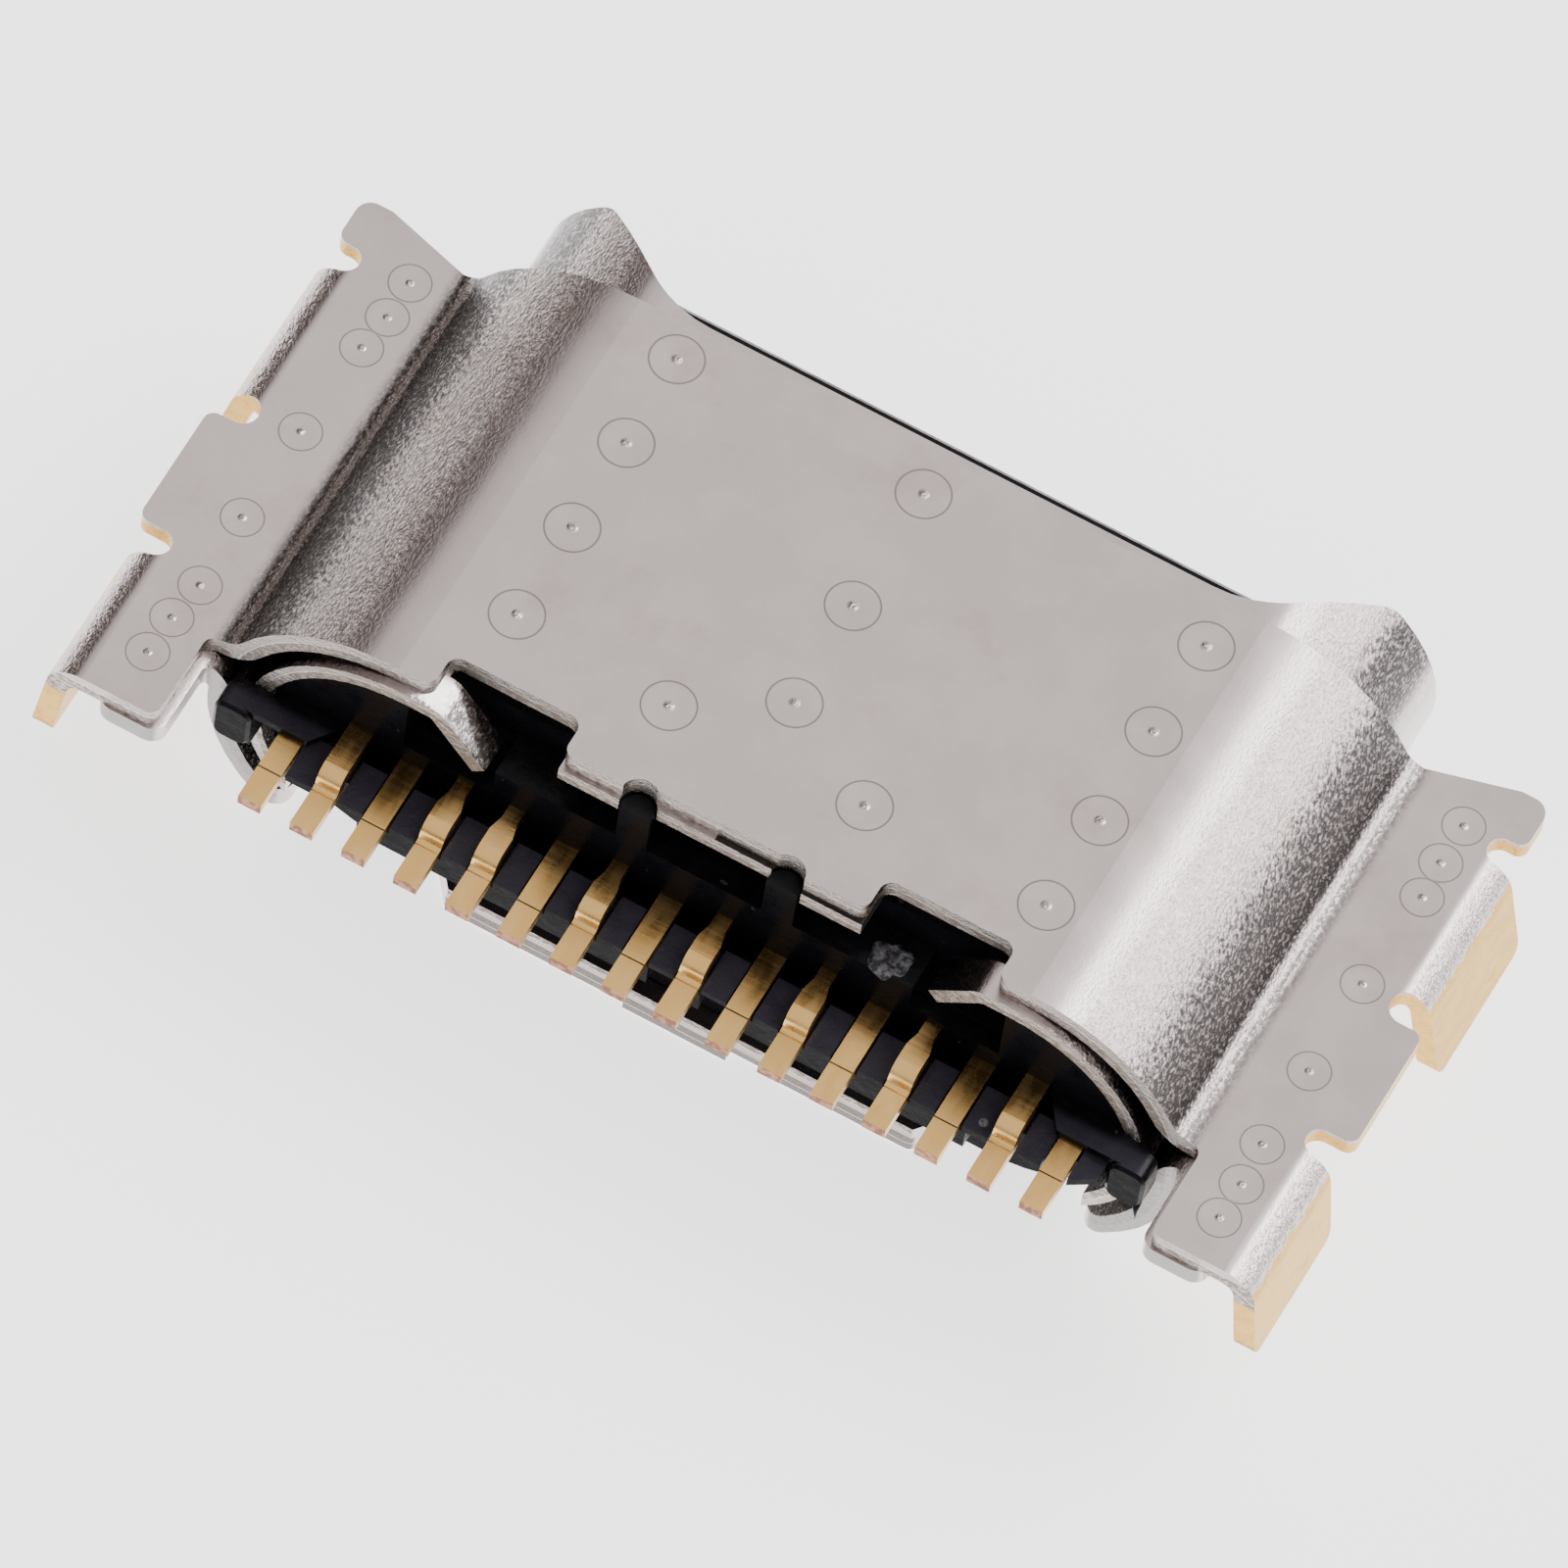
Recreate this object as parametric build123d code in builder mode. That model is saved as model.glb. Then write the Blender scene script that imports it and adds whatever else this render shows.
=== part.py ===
from build123d import *
import math
import os

# A sink-mounted charging port connector for a handset board.
#
# Axes: +X across the mouth, +Y out of the mouth towards the plug, +Z up from the board.
# The origin is at the middle of the overall depth and width, on the underside of the bottom cover.
#
# Two words are used for places in the comments and names below.
# Depth is measured rearwards from a datum plane just ahead of the top cover's dome.
# Height is measured upwards from the middle axis of the mouth.

# Mouth and drawn tube
mouth_width = 8.34
mouth_height = 2.56
shell_sheet = 0.15
ear_front = -0.87
ear_half_width = 3.79
mouth_edge = -0.065
mouth_edge_half_width = 2.82
mouth_inner_bend = 1.10
mouth_outer_bend = 0.25
seam_gap = 0.03
seam_lock = 0.45

# Rear edges of the tube, by depth
shell_rear_middle = 4.32
shell_rear_land = 4.40
shell_rear_side = 4.45

# Folded sheets
cover_sheet = 0.20
dome_side_gap = 0.13
dome_foot_bend = 0.25
board_height = 0.235
lower_foot_bend = 0.15

# Wings of the top cover
wing_root = 4.77
wing_front = -0.12
wing_rear = 5.30
tip_inset = 0.05
tip_rear = 0.36
tab_outset = 0.05
tab_front = 2.42
tab_rear = 3.66
slot_lead = 0.01
corner_round = 0.10
tip_round = 0.15

# Solder legs of the top cover
leg_reach = 5.80
leg_bend = 0.33
leg_drop = 1.10
leg_spans = [(0.62, 2.10), (3.92, 5.30)]
leg_splays = [12, 7]
leg_corner = 0.12

# Front and rear edges of the dome
dome_front = 0.115
dome_rear = 4.26
dome_land_rear = 4.36
notch_front = 4.00
notch_inner = 1.45
notch_outer = 2.70
notch_round = 0.12
bite_place = 0.70
bite_front = 4.22
bite_round = 0.17

# Wings and rear edge of the bottom cover
lower_wing_inset = 0.15
lower_wing_root = 4.70
lower_wing_front = 0.10
lower_wing_rear = 5.33
lower_side_rear = 4.50
lower_lip_rear = 4.43
lower_lip_half_width = 2.25
lip_bump_half_width = 0.50
lip_bump = 0.05
lip_recess_end = 0.91
lip_recess = 0.05
cutback_inner = 2.62
cutback_outer = 3.85
cutback_front = 3.95
side_corner_round = 0.25

# Tabs of the tube that hold the insulator
tab_root = 2.66
tab_width = 0.35
tab_lead = 0.10
tab_bend = 0.20
tab_folds = [(-1, 48, 0.64), (1, 41, 0.50)]

# Contacts
contact_pitch = 0.50
contact_count = 16
contact_sheet = 0.12
beam_width = 0.25
tail_width = 0.22
neck_width = 0.15
beam_front_power = -0.42
beam_front_signal = 0.10
fan_front = 2.85
fan_rear = 3.80
riser_depth = 4.05
hump_front = 3.87
hump_ramp = 0.10
hump_lift = 0.165
step_front = 4.92
step_ramp = 0.06
neck_front = 4.56
neck_end = 4.70
contact_bend = 0.04
tail_rear = 5.45
tongue_places = [-2.75, -1.25, -0.75, -0.25, 0.25, 0.75, 1.25, 2.75]
lower_slots = [0, 2, 5, 7, 9, 11, 13, 15]
upper_slots = [1, 3, 4, 6, 8, 10, 12, 14]
unnecked_slots = [1, 14]

# Tongue
tongue_width = 6.69
tongue_thickness = 0.70
tongue_front = -0.78
tongue_chamfer = 0.05
latch_front = -0.05
latch_length = 0.95
latch_bite = 0.28
collar_step = 0.355
collar_half_height = 0.62
collar_front = 2.60
stop_depth = 3.60

# Middle plate
plate_sheet = 0.10
plate_front = -0.50
plate_rear = 3.84
peg_radius = 0.20
peg_place = 2.05
peg_depth = 2.30

# Ground plates
ground_sheet = 0.10
ground_half_width = 3.10
ground_front = 2.50
ground_flange_height = 1.12
ground_finger_place = 1.70
ground_finger_width = 0.80
ground_finger_gap = 0.02

# Carriers
carrier_side = 0.365
carrier_front = -0.30
collar_wall = 0.12
carrier_root_height = 0.52
carrier_rear_half_width = 3.88
carrier_wall = 0.10
carrier_rear_height = 0.64
carrier_rear = 4.25
carrier_split = 0.37
comb_rear = 5.05
comb_underside = 0.00
comb_half_width = 3.62
comb_base_half_width = 2.92
comb_shoulder_rear = 4.80
rib_front = 4.60
channel_floor = 0.05
rib_lift = 0.09
rib_gap = 0.02
end_rib_reach = 4.10
end_rib_bevel = 0.14
window_front = 4.70
window_top = 0.26
window_ribs = [7, 8]

# Insulator body
body_clearance = 0.02
body_rear = 4.42
body_low_rear = 4.30
ledge_height = 0.90
pocket_front = 3.98
pocket_inner = 2.00
pocket_outer = 2.86
pocket_floor = 0.58
key_clearance = 0.02
key_top = 1.40
bar_inner = 3.38
bar_inner_rear = 3.60
bar_reach = 4.06
bar_rear = 4.73
lug_inner = 4.12
lug_reach = 4.47
lug_neck_reach = 4.34
lug_rear = 4.78
lug_top = 0.43
lug_underside = -0.09
lug_round = 0.11
lug_chamfer = 0.03

# Sizes that follow from those above
shell_rear = lower_lip_rear + lip_bump
shell_half_height = mouth_height / 2 + shell_sheet
shell_half_width = mouth_width / 2 + shell_sheet
arc_place = (mouth_width - mouth_height) / 2
dome_place = arc_place + dome_side_gap
dome_height = shell_half_height + cover_sheet
wing_height = board_height + 2 * cover_sheet
axis_height = dome_height
front_edge = (ear_front + tail_rear) / 2
bend_line = leg_reach - leg_bend
slot_reach = bend_line - slot_lead
tip_reach = leg_reach - tip_inset
tab_reach = leg_reach + tab_outset
lower_wing_reach = bend_line - lower_wing_inset
lower_wing_round = min(tip_round, (lower_wing_reach - lower_wing_root) / 3)
collar_half_width = tongue_width / 2 + collar_step
carrier_half_width = tongue_width / 2 - carrier_side
carrier_root_half_width = collar_half_width - collar_wall
gaps = [(tip_rear, leg_spans[0][0]), (leg_spans[0][1], tab_front), (tab_rear, leg_spans[1][0])]
gap_middles = [(low + high) / 2 for low, high in gaps]
bite_depth = bite_front + bite_round
tail_top = board_height + contact_sheet
tongue_half = tongue_thickness / 2
first_tail = -contact_pitch * (contact_count - 1) / 2
beyond = 1.0


def across(depth):
    """Plane across the connector at a depth, facing the rear: sketched in X and height."""
    return Plane(origin=(0, front_edge - depth, axis_height), x_dir=(1, 0, 0), z_dir=(0, -1, 0))


def plan(height):
    """Plane level with the board, facing down: sketched in X and depth."""
    return Plane(origin=(0, front_edge, axis_height + height), x_dir=(1, 0, 0), z_dir=(0, 0, -1))


def along(place):
    """Plane along the connector at one X, facing -X: sketched in depth and height."""
    return Plane(origin=(place, front_edge, axis_height), x_dir=(0, -1, 0), z_dir=(-1, 0, 0))


def box_sketch(left, right, low, high, mode=Mode.ADD):
    """Rectangle between two corners, for the sketch that is open."""
    with Locations(((left + right) / 2, (low + high) / 2)):
        Rectangle(right - left, high - low, mode=mode)


def pair_sketch(inner, outer, low, high, mode=Mode.ADD):
    """The same rectangle on both sides of the middle."""
    box_sketch(inner, outer, low, high, mode)
    box_sketch(-outer, -inner, low, high, mode)


def block(half_width, front, rear, underside, top, mode=Mode.ADD):
    """Box across the middle, between two depths and two heights, for the part that is open."""
    with Locations((0, front_edge - (front + rear) / 2, axis_height + (underside + top) / 2)):
        Box(2 * half_width, rear - front, top - underside, mode=mode)


def cutback_sketch(rear, mode=Mode.ADD):
    """The two places where the underside is cut back, from the lip's corner to the side wall."""
    for side in (-1, 1):
        Polygon(
            (side * lower_lip_half_width, rear), (side * lower_lip_half_width, lower_lip_rear),
            (side * cutback_inner, cutback_front), (side * cutback_outer, cutback_front),
            (side * cutback_outer, rear), align=None, mode=mode,
        )


def gap_slots(mode):
    """The round-ended gaps beside the legs, for the sketch that is open."""
    for low, high in gaps:
        for side in (-1, 1):
            with Locations((side * (slot_reach + beyond / 2), (low + high) / 2)):
                SlotOverall(beyond, high - low, mode=mode)


def bite_circles(radius, mode=Mode.ADD):
    """The two round bites in the rear edges of the sheets, or the keys that stand in them."""
    with Locations((-bite_place, bite_depth), (bite_place, bite_depth)):
        Circle(radius, mode=mode)


def round_corner(sketch, place, depth, radius):
    """Rounds the corners of an open sketch that lie at one X, on both sides, and a depth."""
    for side in (-1, 1):
        corner = sketch.vertices().sort_by_distance((side * place, depth, 0))[0]
        fillet(corner, radius)


def export(builder, name):
    """Labels a finished piece and writes it."""
    builder.part.label = name
    export_step(builder.part, f"parts/{name}.step")


os.makedirs("parts", exist_ok=True)


# Top cover: the section across the dome and wings, trimmed by the outline of its blank
dome_turn = math.degrees(math.acos(1 - (dome_height - wing_height) / (dome_height + dome_foot_bend)))

with BuildPart() as top_cover:
    with BuildSketch(across(wing_front)):
        with BuildLine():
            crown = Line((0, dome_height), (dome_place, dome_height))
            shoulder = JernArc(crown @ 1, crown % 1, dome_height, -dome_turn)
            foot = JernArc(shoulder @ 1, shoulder % 1, dome_foot_bend, dome_turn)
            Line(foot @ 1, (tab_reach, wing_height))
            offset(amount=cover_sheet, side=Side.RIGHT)
        make_face()
        mirror(about=Plane.YZ)
    extrude(amount=wing_rear - wing_front)

    with BuildSketch(plan(dome_height + beyond)) as blank:
        dome_edge = dome_place + dome_height
        with BuildLine():
            Polyline(
                (0, dome_front), (dome_edge, dome_front), (bend_line, wing_front),
                (tip_reach, wing_front), (tip_reach, gap_middles[0]), (bend_line, gap_middles[0]),
                (bend_line, gap_middles[1]), (tab_reach, gap_middles[1]),
                (tab_reach, gap_middles[2]), (bend_line, gap_middles[2]), (bend_line, wing_rear),
                (wing_root, wing_rear), (wing_root, dome_land_rear), (notch_outer, dome_land_rear),
                (notch_outer, notch_front), (notch_inner, notch_front),
                (notch_inner, dome_land_rear), (bite_place, dome_land_rear),
                (bite_place, dome_rear), (0, dome_rear), close=True,
            )
        make_face()
        mirror(about=Plane.YZ)
        gap_slots(Mode.SUBTRACT)
        bite_circles(bite_round, Mode.SUBTRACT)
        round_corner(blank, tip_reach, wing_front, tip_round)
        round_corner(blank, tip_reach, tip_rear, corner_round)
        round_corner(blank, tab_reach, tab_front, corner_round)
        round_corner(blank, tab_reach, tab_rear, corner_round)
        round_corner(blank, wing_root, wing_rear, corner_round)
        round_corner(blank, wing_root, dome_land_rear, corner_round)
        for place in (notch_inner, notch_outer):
            round_corner(blank, place, notch_front, notch_round)
        round_corner(blank, notch_inner, dome_land_rear, corner_round)
        round_corner(blank, notch_outer, dome_land_rear, corner_round)
    extrude(amount=2 * dome_height + 2 * beyond, mode=Mode.INTERSECT)

    leg_blanks = [(gap_middles[0], gap_middles[1]), (gap_middles[2], wing_rear)]
    for (low, high), splay in zip(leg_blanks, leg_splays):
        with BuildSketch(across(low)):
            with BuildLine():
                lap = Line((bend_line - leg_corner, wing_height), (bend_line, wing_height))
                knee = JernArc(lap @ 1, lap % 1, leg_bend, splay - 90)
                Line(knee @ 1, knee @ 1 + Vector(knee % 1) * leg_drop)
                offset(amount=cover_sheet, side=Side.RIGHT)
            make_face()
            mirror(about=Plane.YZ)
            foot = wing_height - leg_drop
            pair_sketch(0, tab_reach + beyond, foot - beyond, foot, Mode.SUBTRACT)
        extrude(amount=high - low)
    with BuildSketch(plan(dome_height + beyond)):
        gap_slots(Mode.ADD)
    extrude(amount=2 * dome_height + 2 * beyond, mode=Mode.SUBTRACT)
    foot_faces = top_cover.faces().filter_by(Axis.Z).sort_by(Axis.Z)[: 2 * len(leg_spans)]
    foot_corners = foot_faces.edges().filter_by(Axis.X)
    fillet(foot_corners, leg_corner)
export(top_cover, "top_cover")


# Bottom cover: one folded sheet from wing to wing round the underside of the tube
with BuildPart() as bottom_cover:
    with BuildSketch(across(lower_wing_front)):
        with BuildLine():
            keel = Line((0, -dome_height), (dome_place, -dome_height))
            side_wall = JernArc(keel @ 1, keel % 1, dome_height, 90)
            rise = Line(side_wall @ 1, (dome_place + dome_height, board_height - lower_foot_bend))
            knee = JernArc(rise @ 1, rise % 1, lower_foot_bend, -90)
            Line(knee @ 1, (lower_wing_reach, board_height))
            offset(amount=cover_sheet, side=Side.LEFT)
        make_face()
        mirror(about=Plane.YZ)
    extrude(amount=lower_wing_rear - lower_wing_front)

    with BuildSketch(plan(wing_height)) as blank:
        box_sketch(-lower_wing_root - cover_sheet, lower_wing_root + cover_sheet, 0, lower_lip_rear)
        pair_sketch(cutback_outer, lower_wing_reach, 0, lower_side_rear)
        pair_sketch(lower_wing_root, lower_wing_reach, 0, lower_wing_rear)
        cutback_sketch(lower_wing_rear, Mode.SUBTRACT)
        box_sketch(-lip_bump_half_width, lip_bump_half_width, 0, lower_lip_rear + lip_bump)
        box_sketch(lip_bump_half_width, lip_recess_end, lower_lip_rear - lip_recess,
                   lower_lip_rear + lip_bump, Mode.SUBTRACT)
        round_corner(blank, lower_wing_reach, lower_wing_rear, lower_wing_round)
        round_corner(blank, lower_wing_root, lower_wing_rear, lower_wing_round)
        round_corner(blank, lower_wing_root, lower_side_rear, corner_round)
        round_corner(blank, cutback_outer, lower_side_rear, side_corner_round)
        round_corner(blank, cutback_outer, cutback_front, tip_round)
        round_corner(blank, cutback_inner, cutback_front, tip_round)
        round_corner(blank, lower_lip_half_width, lower_lip_rear, corner_round)
    extrude(amount=2 * dome_height + beyond, mode=Mode.INTERSECT)
    front_corners = bottom_cover.edges().filter_by(Axis.Z).group_by(Axis.X)
    outer_edges = front_corners[0] + front_corners[-1]
    fillet(outer_edges.group_by(Axis.Y)[-1], tip_round)
export(bottom_cover, "bottom_cover")


# Inner shell: a drawn oval tube with ears at the mouth, a seam underneath and two folded tabs
with BuildPart() as inner_shell:
    with BuildSketch(across(ear_front)):
        SlotOverall(2 * shell_half_width, 2 * shell_half_height)
        SlotOverall(mouth_width, mouth_height, mode=Mode.SUBTRACT)
    extrude(amount=shell_rear - ear_front)

    for height in (shell_half_height, 0):
        with BuildSketch(plan(height)):
            with BuildLine():
                edge = FilletPolyline(
                    (0, mouth_edge), (mouth_edge_half_width, mouth_edge),
                    (ear_half_width, ear_front), (shell_half_width, ear_front),
                    radius=[mouth_inner_bend, mouth_outer_bend],
                )
                Polyline(edge @ 1, (shell_half_width, ear_front - beyond),
                         (0, ear_front - beyond), edge @ 0)
            make_face()
            mirror(about=Plane.YZ)
        extrude(amount=shell_half_height, mode=Mode.SUBTRACT)

    with BuildSketch(plan(shell_half_height)):
        pair_sketch(tab_root, shell_half_width, shell_rear_side, shell_rear)
        pair_sketch(bite_place, notch_inner, shell_rear_land, shell_rear)
        pair_sketch(notch_inner, tab_root, notch_front - cover_sheet / 2, shell_rear)
        box_sketch(-bite_place, bite_place, shell_rear_middle, shell_rear)
        bite_circles(bite_round)
    extrude(amount=shell_half_height, mode=Mode.SUBTRACT)

    with BuildSketch(plan(0)) as rear_cut:
        box_sketch(-cutback_outer, cutback_outer, lower_lip_rear, shell_rear)
        pair_sketch(cutback_outer, shell_half_width, shell_rear_side, shell_rear)
        cutback_sketch(shell_rear)
        box_sketch(-lip_bump_half_width, lip_bump_half_width, lower_lip_rear,
                   lower_lip_rear + lip_bump, Mode.SUBTRACT)
        round_corner(rear_cut, cutback_outer, cutback_front, tip_round)
        round_corner(rear_cut, cutback_inner, cutback_front, tip_round)
    extrude(amount=shell_half_height, mode=Mode.SUBTRACT)

    with BuildSketch(plan(0)):
        with BuildLine():
            lock_front = (mouth_edge + shell_rear_middle) / 2
            Polyline(
                (0, ear_front), (0, lock_front), (-seam_lock / 2, lock_front - seam_lock / 4),
                (-seam_lock / 2, lock_front + seam_lock), (0, lock_front + 3 * seam_lock / 4),
                (0, shell_rear),
            )
        trace(line_width=seam_gap)
    extrude(amount=shell_half_height, mode=Mode.SUBTRACT)

    tab_front_depth = notch_front + tab_lead
    for side, angle, straight in tab_folds:
        with BuildSketch(across(tab_front_depth)):
            with BuildLine():
                root = Line((side * (tab_root + shell_sheet / 2), shell_half_height),
                            (side * tab_root, shell_half_height))
                curl = JernArc(root @ 1, root % 1, tab_bend, side * angle)
                Line(curl @ 1, curl @ 1 + Vector(curl % 1) * straight)
                offset(amount=shell_sheet, side=Side.LEFT if side > 0 else Side.RIGHT)
            make_face()
        extrude(amount=tab_width)
export(inner_shell, "inner_shell")


def tail_place(slot):
    """X of a tail, by its slot in the row."""
    return first_tail + slot * contact_pitch


def beam_outline(place, tail, front):
    """Beam in the tongue and the slanted run out to the tail's own X, in the open sketch."""
    Polygon(
        (place - beam_width / 2, front), (place + beam_width / 2, front),
        (place + beam_width / 2, fan_front), (tail + tail_width / 2, fan_rear),
        (tail - tail_width / 2, fan_rear), (place - beam_width / 2, fan_front), align=None,
    )


def contact_front(number):
    """Depth where a contact's beam begins: the two outer pairs of each row reach further out."""
    if number in (0, 1, 6, 7):
        return beam_front_power
    return beam_front_signal


bend_radius = contact_bend + contact_sheet / 2
tail_middle = tail_top - contact_sheet / 2
beam_middle = tongue_half - contact_sheet / 2


# Lower contacts: along the underside of the tongue, up behind the middle plate, straight out
lower_contacts = []
for number, slot in enumerate(lower_slots):
    tail = tail_place(slot)
    with BuildPart() as contact:
        with BuildSketch(along(tail)):
            with BuildLine():
                Polyline((fan_rear, -beam_middle), (riser_depth, -beam_middle), (riser_depth, 0))
                FilletPolyline(
                    (riser_depth, 0), (riser_depth, tail_middle), (tail_rear, tail_middle),
                    radius=bend_radius,
                )
            trace(line_width=contact_sheet)
        extrude(amount=tail_width / 2, both=True)
        with BuildSketch(plan(contact_sheet - tongue_half)):
            beam_outline(tongue_places[number], tail, contact_front(number))
        extrude(amount=contact_sheet)
    export(contact, f"lower_contact_{number + 1}")
    lower_contacts.append(contact.part)


# Upper contacts: along the top of the tongue, over a hump, then down a step to the board
upper_contacts = []
for number, slot in enumerate(upper_slots):
    tail = tail_place(slot)
    with BuildPart() as contact:
        with BuildSketch(along(tail)):
            with BuildLine():
                Polyline(
                    (fan_rear, beam_middle), (hump_front, beam_middle),
                    (hump_front + hump_ramp, beam_middle + hump_lift),
                    (body_rear, beam_middle + hump_lift),
                )
                FilletPolyline(
                    (body_rear, beam_middle + hump_lift), (step_front, beam_middle + hump_lift),
                    (step_front + step_ramp, tail_middle), (tail_rear, tail_middle),
                    radius=bend_radius,
                )
            trace(line_width=contact_sheet)
        extrude(amount=tail_width / 2, both=True)
        if slot not in unnecked_slots:
            with BuildSketch(plan(dome_height)):
                for side in (-1, 1):
                    edge = tail + side * tail_width / 2
                    waist = tail + side * neck_width / 2
                    Polygon(
                        (edge, carrier_rear), (waist, body_rear), (waist, neck_front),
                        (edge, neck_end), align=None,
                    )
            extrude(amount=dome_height, mode=Mode.SUBTRACT)
        with BuildSketch(plan(tongue_half)):
            beam_outline(tongue_places[number], tail, contact_front(number))
        extrude(amount=contact_sheet)
    export(contact, f"upper_contact_{number + 1}")
    upper_contacts.append(contact.part)
contacts = lower_contacts + upper_contacts


def latch_notches(reach):
    """The bites in both sides of the tongue that the plug's latches grip, in the open sketch."""
    pair_sketch(tongue_width / 2 - latch_bite, reach, latch_front, latch_front + latch_length,
                Mode.SUBTRACT)


# Middle plate: a flat stamping the full width of the tongue, with two holes for moulded pegs
with BuildPart() as mid_plate:
    with BuildSketch(plan(plate_sheet / 2)) as outline:
        box_sketch(-tongue_width / 2, tongue_width / 2, plate_front, plate_rear)
        latch_notches(tongue_width / 2)
        round_corner(outline, tongue_width / 2, plate_front, corner_round)
        with Locations((-peg_place, peg_depth), (peg_place, peg_depth)):
            Circle(peg_radius, mode=Mode.SUBTRACT)
    extrude(amount=plate_sheet)
export(mid_plate, "mid_plate")


# Ground plates: flat on the collar, turned up against the stop face, with fingers to the tube
for name, flip in (("upper_ground_plate", 1), ("lower_ground_plate", -1)):
    with BuildPart() as ground_plate:
        with BuildSketch(plan(flip * (collar_half_height + ground_sheet / 2))) as outline:
            box_sketch(-ground_half_width, ground_half_width, ground_front, stop_depth)
            round_corner(outline, ground_half_width, ground_front, tip_round)
        extrude(amount=ground_sheet / 2, both=True)
        with BuildSketch(across(stop_depth - ground_sheet)):
            low = flip * collar_half_height
            flange = flip * ground_flange_height
            finger = flip * (mouth_height / 2 - ground_finger_gap)
            box_sketch(-ground_half_width + tip_round, ground_half_width - tip_round,
                       min(low, flange), max(low, flange))
            pair_sketch(ground_finger_place - ground_finger_width / 2,
                        ground_finger_place + ground_finger_width / 2,
                        min(low, finger), max(low, finger))
        extrude(amount=ground_sheet)
    export(ground_plate, name)


# Upper carrier: moulded round the upper contacts, with pegs through the middle plate
carrier_sections = [
    (carrier_half_width, carrier_front, collar_front + carrier_wall, tongue_half),
    (carrier_root_half_width, collar_front + carrier_wall, stop_depth, carrier_root_height),
    (carrier_rear_half_width, stop_depth, plate_rear, carrier_rear_height),
]

with BuildPart() as upper_carrier:
    for half_width, front, rear, height in carrier_sections:
        block(half_width, front, rear, plate_sheet / 2, height)
    block(carrier_rear_half_width, plate_rear, carrier_rear, carrier_split, carrier_rear_height)
    with BuildSketch(plan(plate_sheet / 2)):
        with Locations((-peg_place, peg_depth), (peg_place, peg_depth)):
            Circle(peg_radius)
    extrude(amount=plate_sheet)
    for contact in contacts:
        add(contact, mode=Mode.SUBTRACT)
export(upper_carrier, "upper_contact_carrier")


# Lower carrier: moulded round the lower contacts, with the comb that parts the tails
with BuildPart() as lower_carrier:
    for half_width, front, rear, height in carrier_sections:
        block(half_width, front, rear, -height, -plate_sheet / 2)
    block(carrier_rear_half_width, plate_rear, carrier_rear, -carrier_rear_height, carrier_split)
    with BuildSketch(plan(board_height)):
        box_sketch(-comb_half_width, end_rib_reach, carrier_rear, comb_shoulder_rear)
        box_sketch(-comb_base_half_width, comb_base_half_width, carrier_rear, comb_rear)
    extrude(amount=board_height - comb_underside)
    block(end_rib_reach, body_rear, rib_front, channel_floor, board_height, Mode.SUBTRACT)
    rib_half_width = contact_pitch / 2 - tail_width / 2 - rib_gap
    rib_places = [first_tail + (number + 0.5) * contact_pitch for number in range(contact_count - 1)]
    with BuildSketch(plan(board_height + rib_lift)):
        for middle in rib_places:
            box_sketch(middle - rib_half_width, middle + rib_half_width, rib_front, comb_rear)
        end_rib_inner = -first_tail + tail_width / 2 + rib_gap
        Polygon(
            (end_rib_inner, rib_front), (end_rib_reach, rib_front),
            (end_rib_reach, comb_rear - end_rib_bevel), (end_rib_inner, comb_rear), align=None,
        )
    extrude(amount=rib_lift)
    with BuildSketch(across(window_front)):
        for number in window_ribs:
            box_sketch(rib_places[number] - rib_half_width, rib_places[number] + rib_half_width,
                       comb_underside, window_top)
    extrude(amount=comb_rear - window_front, mode=Mode.SUBTRACT)
    for contact in contacts:
        add(contact, mode=Mode.SUBTRACT)
export(lower_carrier, "lower_contact_carrier")


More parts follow.
